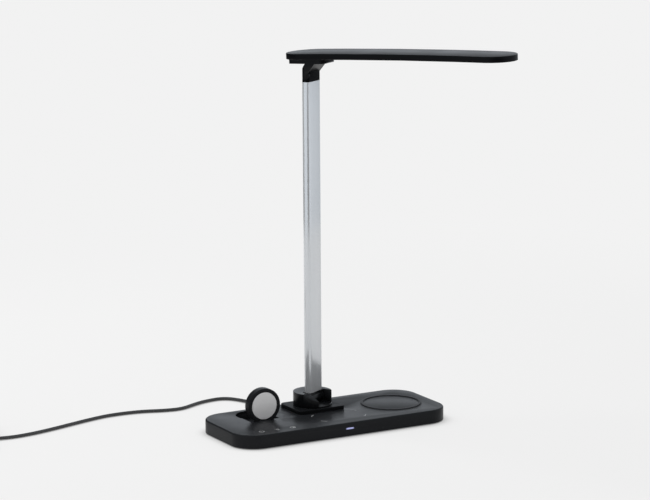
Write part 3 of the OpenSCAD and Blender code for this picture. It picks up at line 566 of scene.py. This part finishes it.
printMarks = {
    "keys": ((-92.1, -37.2), (-74.9, -37.6), (-57.7, -37.8)),
    "face": 14.3,              # height of the printed face
    "ring": 2.5, "stroke": 0.5, "sunk": 0.02, "lift": 0.04,
    "lampArc": (125, 415), "lampStroke": (0.9, 0.5),
    "glowRing": 0.46, "glowRays": 8, "rayReach": (0.82, 1.14), "rayStroke": 0.8,
    "halfRing": 0.42, "halfStroke": 1.9,
    "budsCentre": (4.2, -20.2), "budsHalf": (25.4, 13.8), "budsCorner": 5, "budsStroke": 0.6,
    "budsTurn": 38,            # half the turn of each corner's arc
}


def arcSolid(build, centre, radius, width, start, end, low, high, steps=20):
    # A flat arc of the given stroke between two angles in degrees; a full turn closes on itself
    whole = end - start == 360
    rings = []
    for i in range(steps if whole else steps + 1):
        a = radians(start + (end - start) * i / steps)
        out = Vector((cos(a), sin(a), 0))
        corners = ((radius - width / 2, low), (radius + width / 2, low), (radius + width / 2, high),
                   (radius - width / 2, high))
        rings.append([build.verts.new((Vector((*centre, z)) + out * r) * mm) for r, z in corners])
    pairs = list(zip(rings, rings[1:] + rings[:1])) if whole else list(zip(rings, rings[1:]))
    for first, second in pairs:
        for k in range(4):
            n = (k + 1) % 4
            build.faces.new((first[k], first[n], second[n], second[k]))
    if not whole:
        build.faces.new(reversed(rings[0]))
        build.faces.new(rings[-1])


def barSolid(build, start, end, width, low, high):
    along = (end - start).normalized()
    side = Vector((-along.y, along.x)) * width / 2
    corners = [start + side, start - side, end - side, end + side]
    bottom = [build.verts.new(Vector((*c, low)) * mm) for c in corners]
    top = [build.verts.new(Vector((*c, high)) * mm) for c in corners]
    build.faces.new(reversed(bottom))
    build.faces.new(top)
    for k in range(4):
        n = (k + 1) % 4
        build.faces.new((bottom[k], bottom[n], top[n], top[k]))


def closeMesh(build, name):
    bmesh.ops.recalc_face_normals(build, faces=build.faces)
    mesh = bpy.data.meshes.new(name)
    build.to_mesh(mesh)
    build.free()
    return linkMesh(name, mesh)


def makeKeyMarks(s):
    low, high = s["face"] - s["sunk"], s["face"] + s["lift"]
    build = bmesh.new()
    lamp, glow, clock = (Vector(spot) for spot in s["keys"])
    ring, stroke = s["ring"], s["stroke"]
    # lamp on and off: an open ring with a stroke in its gap
    arcSolid(build, lamp, ring, stroke, *s["lampArc"], low, high)
    foot, past = s["lampStroke"]
    barSolid(build, lamp + Vector((0, foot)), lamp + Vector((0, ring + past)), stroke, low, high)
    # brightness: a small ring with rays
    arcSolid(build, glow, ring * s["glowRing"], stroke, 0, 360, low, high)
    for k in range(s["glowRays"]):
        turn = 2 * pi * k / s["glowRays"]
        out = Vector((cos(turn), sin(turn))) * ring
        barSolid(build, *(glow + out * reach for reach in s["rayReach"]), stroke * s["rayStroke"], low, high)
    # light colour: a ring with its half filled by strokes
    arcSolid(build, clock, ring, stroke, 0, 360, low, high)
    arcSolid(build, clock, ring * s["halfRing"], stroke * s["halfStroke"], -90, 90, low, high)
    return closeMesh(build, "keyMarks")


def makeEarbudMarks(s):
    low, high = s["face"] - s["sunk"], s["face"] + s["lift"]
    build = bmesh.new()
    inset = [half - s["budsCorner"] for half in s["budsHalf"]]
    for sx, sy, middle in ((-1, -1, 225), (-1, 1, 135), (1, -1, 315), (1, 1, 45)):
        spot = Vector(s["budsCentre"]) + Vector((sx * inset[0], sy * inset[1]))
        turns = middle - s["budsTurn"], middle + s["budsTurn"]
        arcSolid(build, spot, s["budsCorner"], s["budsStroke"], *turns, low, high, 10)
    return closeMesh(build, "earbudMarks")


printGrey = mouldedPlastic("printGrey", dict(
    blackPlastic, colour=(0.42, 0.425, 0.43), colourHigh=(0.50, 0.505, 0.51), worn=(0.5, 0.5, 0.5),
    roughness=0.5, wear=0.0, dust=0.0, specular=0.4))
for piece in (makeKeyMarks(printMarks), makeEarbudMarks(printMarks)):
    paint(piece, printGrey)
    dress(piece, "base", None)
print("printed marks made")

armFinish = {
    "hubEdge": 0.2, "footEdge": 0.3, "tubeEdge": 0.25, "blockEdge": 0.25, "neckEdge": 0.25, "coverEdge": 0.4,
    "panelEdge": 0.2, "pinEdge": 0.2, "armWasherEdge": 0.1, "headWasherEdge": 0.08,
}


def finishArm(s):
    made = (
        ("swivel_hub", "swivelHub", "hub", s["hubEdge"], hubBlack, "matte_black"),
        ("arm_pin", "armPin", "hub", s["pinEdge"], steelFinish, "steel"),
        ("swivel_nut", "swivelNut", "hub", s["pinEdge"], nutMetal, "swivel_nut_metal"),
        ("stem_foot", "stemFoot", "arm", s["footEdge"], hubBlack, "matte_black"),
        ("arm_washers", "armWashers", "arm", s["armWasherEdge"], steelFinish, "steel"),
        ("stem_tube", "stemTube", "arm", s["tubeEdge"], satinAluminium, "satin_aluminium"),
        ("stem_top_block", "stemTopBlock", "arm", s["blockEdge"], hingeBlack, "matte_black"),
        ("head_pin", "headPin", "arm", s["pinEdge"], steelFinish, "steel"),
        ("head_washers", "headWashers", "head", s["headWasherEdge"], steelFinish, "steel"),
        ("head_neck", "headNeck", "head", s["neckEdge"], neckBlack, "matte_black"),
        ("head_cover", "headCover", "head", s["coverEdge"], headBlack, "matte_black"),
        ("head_underside", "headUnderside", "head", s["panelEdge"], softBlack, "soft_black"),
        ("head_diffuser", "headDiffuser", "head", s["panelEdge"], diffuserWhite, "diffuser"),
    )
    for node, name, body, edge, material, slotName in made:
        piece = finishedCopy(node, name, edge)
        paint(piece, material)
        dress(piece, body, slotName, node)


finishArm(armFinish)
print("hub, stem and head finished")

watchFinish = {"standEdge": 0.8, "standSegments": 3, "puckEdge": 0.6, "puckSegments": 4}


def finishWatchStand(s):
    stand = finishedCopy("watch_stand", "watchStand", s["standEdge"], segments=s["standSegments"])
    paint(stand, matteBlack)
    dress(stand, "watch_stand", "matte_black", "watch_stand")
    puck = finishedCopy("watch_puck", "watchPuck", s["puckEdge"], segments=s["puckSegments"])
    paint(puck, puckPlastic)
    dress(puck, "watch_stand", "puck_white", "watch_puck")


finishWatchStand(watchFinish)
print("watch stand finished")

for node, material in (
    ("ballast_plate", castIron), ("main_board", mainBoard), ("touch_board", touchBoard),
    ("light_board", lightBoard), ("phone_coil", woundPhone), ("phone_ferrite", ferriteSheet),
    ("earbud_coil", woundBuds), ("earbud_ferrite", ferriteSheet), ("plinth_pegs", steelFinish),
    ("swivel_washer", steelFinish), ("stem_wires", sleeveRed), ("led_board", ledBoard),
    ("leds", ledPhosphor), ("head_screws", steelFinish), ("watch_coil", woundWatch),
):
    paint(nodes[node], material)

cordRoute = {
    "diameter": 3.4,
    "lead": (
        (-24, 86.05, 7.2), (-24, 88, 7.2), (-23.7, 93.5, 6.6), (-23.2, 100, 5.2), (-23, 107, 3.6),
        (-23.4, 114, 2.4), (-24.8, 122, 1.9), (-27.8, 130, 1.8), (-32, 138, 1.8), (-38, 144.5, 1.8),
        (-46, 147.2, 1.8),
        (-56, 146.4, 1.8), (-66, 144, 1.8), (-75.5, 140.2, 1.8), (-84.5, 135.7, 1.8), (-92.5, 132, 1.8),
        (-101, 130.2, 1.8), (-110, 131.2, 1.8), (-120, 133.8, 1.8), (-137, 139.6, 1.8), (-156, 142.3, 1.8),
        (-177, 141.6, 1.8), (-200, 136, 1.8), (-222, 129, 1.8), (-245, 121.6, 1.8), (-268, 115.5, 1.8),
        (-290, 112.6, 1.8), (-308, 114.2, 2), (-322, 118.3, 2.3), (-337, 123.0, 2.3),
    ),
    "coilCentre": (-352, 98), "coilMean": 20.4, "columns": 5, "lowest": 2.3, "perTurn": 24,
    # angles in degrees along the winding: where it starts, steps in, climbs and steps out
    "startAt": 90, "stepAt": 240, "stepOver": 120, "climbAt": 190, "climbOver": 150, "outAt": 265,
    "tail": (
        (-324.8, 105, 6.0), (-324.8, 112, 7.0), (-324.8, 119.95, 7.0), (-324.8, 129, 7.0), (-324.8, 138, 7.0),
    ),
}


def eased(t):
    t = min(max(t, 0), 1)
    return t * t * (3 - 2 * t)


def coilPoints(s):
    # Wound inwards on the table, up at the inside, outwards on top; each turn steps over in one long stretch
    d, over = s["diameter"], s["stepOver"]
    steps = s["columns"] - 1
    outer = s["coilMean"] + d * steps / 2
    climb = 360 * steps + s["climbAt"]
    start, last = s["startAt"], 360 * (2 * steps + 1)
    points = []
    count = round((last - start) / 360 * s["perTurn"])
    for i in range(count + 1):
        angle = start + (last - start) * i / count
        radius = outer - d * sum(eased((angle - s["stepAt"] - 360 * k) / over) for k in range(steps))
        radius += d * sum(eased((angle - climb - s["outAt"] - 360 * k) / over) for k in range(steps))
        height = s["lowest"] + d * eased((angle - climb) / s["climbOver"])
        a = radians(angle)
        points.append((s["coilCentre"][0] + radius * cos(a), s["coilCentre"][1] + radius * sin(a), height))
    return points


def makeCord(s):
    points = [Vector(p) * mm for p in (*s["lead"], *coilPoints(s), *s["tail"])]
    curve = bpy.data.curves.new("supplyCord", "CURVE")
    curve.dimensions = "3D"
    curve.bevel_depth = s["diameter"] / 2 * mm
    curve.bevel_resolution = 4
    curve.resolution_u = 4
    curve.use_fill_caps = True
    spline = curve.splines.new("BEZIER")
    spline.bezier_points.add(len(points) - 1)
    for i, (knot, p) in enumerate(zip(spline.bezier_points, points)):
        before, after = points[max(i - 1, 0)], points[min(i + 1, len(points) - 1)]
        way = (after - before).normalized()
        knot.handle_left_type = knot.handle_right_type = "FREE"
        knot.co = p
        knot.handle_left = p - way * (p - before).length / 3
        knot.handle_right = p + way * (after - p).length / 3
    cordPiece = bpy.data.objects.new("supplyCord", curve)
    bpy.context.scene.collection.objects.link(cordPiece)
    curve.materials.append(cordJacket)
    return cordPiece, sum((b - a).length for a, b in zip(points, points[1:]))


supplyCord, cordLength = makeCord(cordRoute)
print("cord made,", round(cordLength, 4), "m")


def newGeometryTree(name, inputs):
    # Every tree repeats one form along a row of points and gives it one material
    shared = (("Count", "NodeSocketInt", 7), ("Start", "NodeSocketVector", None),
              ("Pitch", "NodeSocketFloat", 0.002), ("Material", "NodeSocketMaterial", None))
    tree = bpy.data.node_groups.new(name, "GeometryNodeTree")
    for label, kind, value in (*shared, *inputs):
        socket = tree.interface.new_socket(label, in_out="INPUT", socket_type=kind)
        if value is not None:
            socket.default_value = value
    tree.interface.new_socket("Geometry", in_out="OUTPUT", socket_type="NodeSocketGeometry")
    return tree, tree.nodes.new("NodeGroupInput"), tree.nodes.new("NodeGroupOutput")


def repeatInRow(tree, entry, axis, form):
    # The form lies with its own axis along Y, once on each point of a row along the given axis
    step = addNode(tree, "ShaderNodeCombineXYZ")
    tree.links.new(entry.outputs["Pitch"], step.inputs[axis])
    line = addNode(tree, "GeometryNodeMeshLine", mode="OFFSET")
    tree.links.new(entry.outputs["Count"], line.inputs["Count"])
    tree.links.new(entry.outputs["Start"], line.inputs["Start Location"])
    tree.links.new(step.outputs[0], line.inputs["Offset"])
    turn = addNode(tree, "FunctionNodeInputVector")
    turn.vector = (pi / 2, 0, 0)
    place = addNode(tree, "GeometryNodeInstanceOnPoints")
    tree.links.new(line.outputs["Mesh"], place.inputs["Points"])
    tree.links.new(form, place.inputs["Instance"])
    tree.links.new(turn.outputs[0], place.inputs["Rotation"])
    return place


def finishTree(tree, entry, leave, geometry):
    real = addNode(tree, "GeometryNodeRealizeInstances")
    tree.links.new(geometry, real.inputs["Geometry"])
    coat = addNode(tree, "GeometryNodeSetMaterial")
    tree.links.new(real.outputs["Geometry"], coat.inputs["Geometry"])
    tree.links.new(entry.outputs["Material"], coat.inputs["Material"])
    tree.links.new(coat.outputs["Geometry"], leave.inputs["Geometry"])
    return tree


def runTree(tree, name, values):
    # A bare object carries the tree; its named inputs are set before it is first evaluated
    holder = linkMesh(name, bpy.data.meshes.new(name))
    modifier = holder.modifiers.new("repeat", "NODES")
    modifier.node_group = tree
    for item in tree.interface.items_tree:
        if item.in_out == "INPUT" and item.name in values:
            modifier[item.identifier] = values[item.name]
    return bake(holder, name)


def makeReliefTree():
    # Rings along +Y, each smaller than the one before
    tree, entry, leave = newGeometryTree("reliefRings", (
        ("First radius", "NodeSocketFloat", 0.003), ("Last radius", "NodeSocketFloat", 0.002),
        ("Thickness", "NodeSocketFloat", 0.0008),
    ))
    circle = addNode(tree, "GeometryNodeCurvePrimitiveCircle")
    circle.inputs["Resolution"].default_value = 36
    circle.inputs["Radius"].default_value = 1
    index = addNode(tree, "GeometryNodeInputIndex")
    share = mathNode(tree, "DIVIDE", index.outputs[0], mathNode(tree, "SUBTRACT", entry.outputs["Count"], 1))
    first, last = entry.outputs["First radius"], entry.outputs["Last radius"]
    place = repeatInRow(tree, entry, "Y", circle.outputs["Curve"])
    tree.links.new(rangeNode(tree, share, 0.0, 1.0, first, last, "LINEAR"), place.inputs["Scale"])
    loose = addNode(tree, "GeometryNodeRealizeInstances")
    tree.links.new(place.outputs["Instances"], loose.inputs["Geometry"])
    profile = addNode(tree, "GeometryNodeCurvePrimitiveCircle")
    profile.inputs["Resolution"].default_value = 10
    tree.links.new(mathNode(tree, "DIVIDE", entry.outputs["Thickness"], 2), profile.inputs["Radius"])
    swept = addNode(tree, "GeometryNodeCurveToMesh")
    tree.links.new(loose.outputs["Geometry"], swept.inputs["Curve"])
    tree.links.new(profile.outputs["Curve"], swept.inputs["Profile Curve"])
    return finishTree(tree, entry, leave, swept.outputs["Mesh"])


def makeRibTree():
    # Rounded ribs standing on a face, stepped along +Z
    tree, entry, leave = newGeometryTree("gripRibs", (
        ("Length", "NodeSocketFloat", 0.03), ("Radius", "NodeSocketFloat", 0.0005),
    ))
    rib = addNode(tree, "GeometryNodeMeshCylinder")
    rib.inputs["Vertices"].default_value = 12
    tree.links.new(entry.outputs["Radius"], rib.inputs["Radius"])
    tree.links.new(entry.outputs["Length"], rib.inputs["Depth"])
    place = repeatInRow(tree, entry, "Z", rib.outputs["Mesh"])
    return finishTree(tree, entry, leave, place.outputs["Instances"])


plugFinish = {
    "plugEdge": 0.5, "rings": 7, "ringPitch": 2.1, "ringFirst": 2.75, "ringLast": 1.95,
    "ringThickness": 1.0, "smoothAngle": 60,
}
supplyFinish = {
    "bodyEdge": 0.5, "bladeEdge": 0.3, "ribs": 7, "ribPitch": 2.2, "ribLength": 24, "ribRadius": 0.5,
    "ribShift": 7,            # towards +Y from the middle of the face
    "smoothAngle": 60,
}
tieFinish = {"tieEdge": 0.12}


def finishPlug(s):
    low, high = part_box("dc_plug")
    plug = finishedCopy("dc_plug", "dcPlug", s["plugEdge"])
    paint(plug, softBlack)
    dress(plug, "base", "cord_jacket", "dc_plug")
    middle = (low + high) / 2
    start = Vector((middle.x, high.y - s["rings"] * s["ringPitch"] * mm, middle.z))
    rings = runTree(makeReliefTree(), "plugRelief", {
        "Count": s["rings"], "Start": start, "Pitch": s["ringPitch"] * mm,
        "First radius": s["ringFirst"] * mm, "Last radius": s["ringLast"] * mm,
        "Thickness": s["ringThickness"] * mm, "Material": softBlack})
    smooth(rings, s["smoothAngle"])
    dress(rings, "base", "cord_jacket")
    return plug, rings


def finishSupply(s):
    low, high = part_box("supply_body")
    body = finishedCopy("supply_body", "supplyBody", s["bodyEdge"])
    paint(body, supplyBlack)
    dress(body, "base", "supply_plastic", "supply_body")
    blades = finishedCopy("supply_blades", "supplyBlades", s["bladeEdge"])
    paint(blades, steelFinish)
    dress(blades, "base", "steel", "supply_blades")
    middle = (low + high) / 2
    firstZ = middle.z - (s["ribs"] - 1) / 2 * s["ribPitch"] * mm
    start = Vector((high.x, middle.y + s["ribShift"] * mm, firstZ))
    ribs = runTree(makeRibTree(), "supplyRibs", {
        "Count": s["ribs"], "Start": start, "Pitch": s["ribPitch"] * mm,
        "Length": s["ribLength"] * mm, "Radius": s["ribRadius"] * mm, "Material": supplyBlack})
    smooth(ribs, s["smoothAngle"])
    dress(ribs, "base", "supply_plastic")
    return body, blades, ribs


def makeTie(s):
    tie = finishedCopy("cord_tie", "cordTie", s["tieEdge"])
    paint(tie, softBlack)
    dress(tie, "base", "cord_jacket", "cord_tie")
    return tie


plug, plugRings = finishPlug(plugFinish)
supplyPieces = finishSupply(supplyFinish)
tie = makeTie(tieFinish)
print("plug, supply and tie finished")

dress(supplyCord, "base", "cord_jacket", "cord_lead", "cord_coil", "cord_tail")

roomSettings = {
    "background": 0.887, "floorColour": 0.91, "floorShare": 0.20, "floorReach": (0.5, 1.1),
    "skyDiffuse": 0.60, "glossBright": 0.98, "glossTint": (0.94, 1.0, 1.07),
    # The floor's painted contact shadow: how dark and how far out ambient occlusion darkens its flat emission
    "paintedShadowDepth": 0.8, "paintedShadowReach": 0.012, "floorDrop": 0.0002,
}


def makeFloor(s):
    build = bmesh.new()
    radius = s["floorReach"][1] * 1.05
    bmesh.ops.create_circle(build, cap_ends=True, cap_tris=False, segments=96, radius=radius)
    mesh = bpy.data.meshes.new("floor")
    build.to_mesh(mesh)
    build.free()
    floor = linkMesh("floor", mesh)
    floor.location.z = -s["floorDrop"]
    material = bpy.data.materials.new("paleFloor")
    material.use_nodes = True
    tree = material.node_tree
    tree.nodes.clear()
    diffuse = addNode(tree, "ShaderNodeBsdfDiffuse")
    diffuse.inputs["Color"].default_value = (s["floorColour"],) * 3 + (1,)
    flat = addNode(tree, "ShaderNodeEmission")
    flat.inputs["Color"].default_value = (s["background"],) * 3 + (1,)
    # Painted contact shadow: ambient occlusion darkens the floor's flat emission next to the object
    paintedShadowOcclusion = addNode(tree, "ShaderNodeAmbientOcclusion", samples=8)
    paintedShadowOcclusion.inputs["Distance"].default_value = s["paintedShadowReach"]
    paintedShadowStrength = rangeNode(tree, paintedShadowOcclusion.outputs["AO"], 0.0, 1.0, 1.0 - s["paintedShadowDepth"], 1.0)
    tree.links.new(paintedShadowStrength, flat.inputs["Strength"])
    place = addNode(tree, "ShaderNodeTexCoord")
    reach = addNode(tree, "ShaderNodeVectorMath", operation="LENGTH")
    tree.links.new(place.outputs["Object"], reach.inputs[0])
    fade = rangeNode(tree, reach.outputs["Value"], *s["floorReach"], s["floorShare"], 0.0)
    rays = addNode(tree, "ShaderNodeLightPath")
    seen = mathNode(tree, "MAXIMUM", rays.outputs["Is Camera Ray"], rays.outputs["Is Glossy Ray"])
    seen = mathNode(tree, "MAXIMUM", seen, rays.outputs["Is Transmission Ray"])
    share = mathNode(tree, "MULTIPLY", seen, mathNode(tree, "SUBTRACT", 1.0, fade))
    blend = addNode(tree, "ShaderNodeMixShader")
    tree.links.new(share, blend.inputs[0])
    tree.links.new(diffuse.outputs[0], blend.inputs[1])
    tree.links.new(flat.outputs[0], blend.inputs[2])
    output = addNode(tree, "ShaderNodeOutputMaterial")
    tree.links.new(blend.outputs[0], output.inputs[0])
    paint(floor, material)


def towards(azimuth, elevation):
    # Azimuth in degrees from +Y towards +X
    a, e = radians(azimuth), radians(elevation)
    return Vector((sin(a) * cos(e), cos(a) * cos(e), sin(e)))


# The studio as gloss sees it: a pale room with a darker stretch round the camera and softer dark panels
darkPanels = (
    {"azimuth": 195, "elevation": -11, "inner": 0.93, "outer": 0.78, "depth": 1.0},
    {"azimuth": 330, "elevation": -11, "inner": 0.66, "outer": 0.56, "depth": 0.97},
    {"azimuth": 72, "elevation": -11, "inner": 0.97, "outer": 0.85, "depth": 0.30},
)


def makeWorld(s, panels):
    world = bpy.data.worlds.new("studio")
    bpy.context.scene.world = world
    world.use_nodes = True
    tree = world.node_tree
    tree.nodes.clear()
    place = addNode(tree, "ShaderNodeTexCoord")
    level = None
    for panel in panels:
        dot = addNode(tree, "ShaderNodeVectorMath", operation="DOT_PRODUCT")
        tree.links.new(place.outputs["Generated"], dot.inputs[0])
        dot.inputs[1].default_value = towards(panel["azimuth"], panel["elevation"])
        keep = rangeNode(tree, dot.outputs["Value"], panel["outer"], panel["inner"], 1.0, 1.0 - panel["depth"])
        level = keep if level is None else mathNode(tree, "MULTIPLY", level, keep)
    gloss = mathNode(tree, "MULTIPLY", level, s["glossBright"])
    rays = addNode(tree, "ShaderNodeLightPath")
    mirror = mathNode(tree, "MAXIMUM", rays.outputs["Is Glossy Ray"], rays.outputs["Is Transmission Ray"])
    studio = rangeNode(tree, mirror, 0.0, 1.0, s["skyDiffuse"], gloss, "LINEAR")
    strength = rangeNode(tree, rays.outputs["Is Camera Ray"], 0.0, 1.0, studio, s["background"], "LINEAR")
    shade = addNode(tree, "ShaderNodeBackground")
    tree.links.new(mixColour(tree, mirror, (1.0, 1.0, 1.0), s["glossTint"]), shade.inputs["Color"])
    tree.links.new(strength, shade.inputs["Strength"])
    output = addNode(tree, "ShaderNodeOutputWorld")
    tree.links.new(shade.outputs[0], output.inputs[0])


# Aim points and sizes in metres, power in watts
lampSettings = (
    {"name": "keyPanel", "from": (-1.0, 1.1, 1.9), "to": (0, 0, 0.1), "size": 1.3, "power": 28},
)


def makeLamps(settings):
    for s in settings:
        data = bpy.data.lights.new(s["name"], "AREA")
        data.shape = "SQUARE"
        data.size = s["size"]
        data.energy = s["power"]
        lamp = bpy.data.objects.new(s["name"], data)
        lamp.location = s["from"]
        lamp.visible_glossy = False
        lamp.rotation_euler = (Vector(s["to"]) - Vector(s["from"])).to_track_quat("-Z", "Y").to_euler()
        bpy.context.scene.collection.objects.link(lamp)


makeFloor(roomSettings)
makeWorld(roomSettings, darkPanels)
makeLamps(lampSettings)
bpy.context.scene.view_settings.view_transform = "Standard"
print("studio ready")
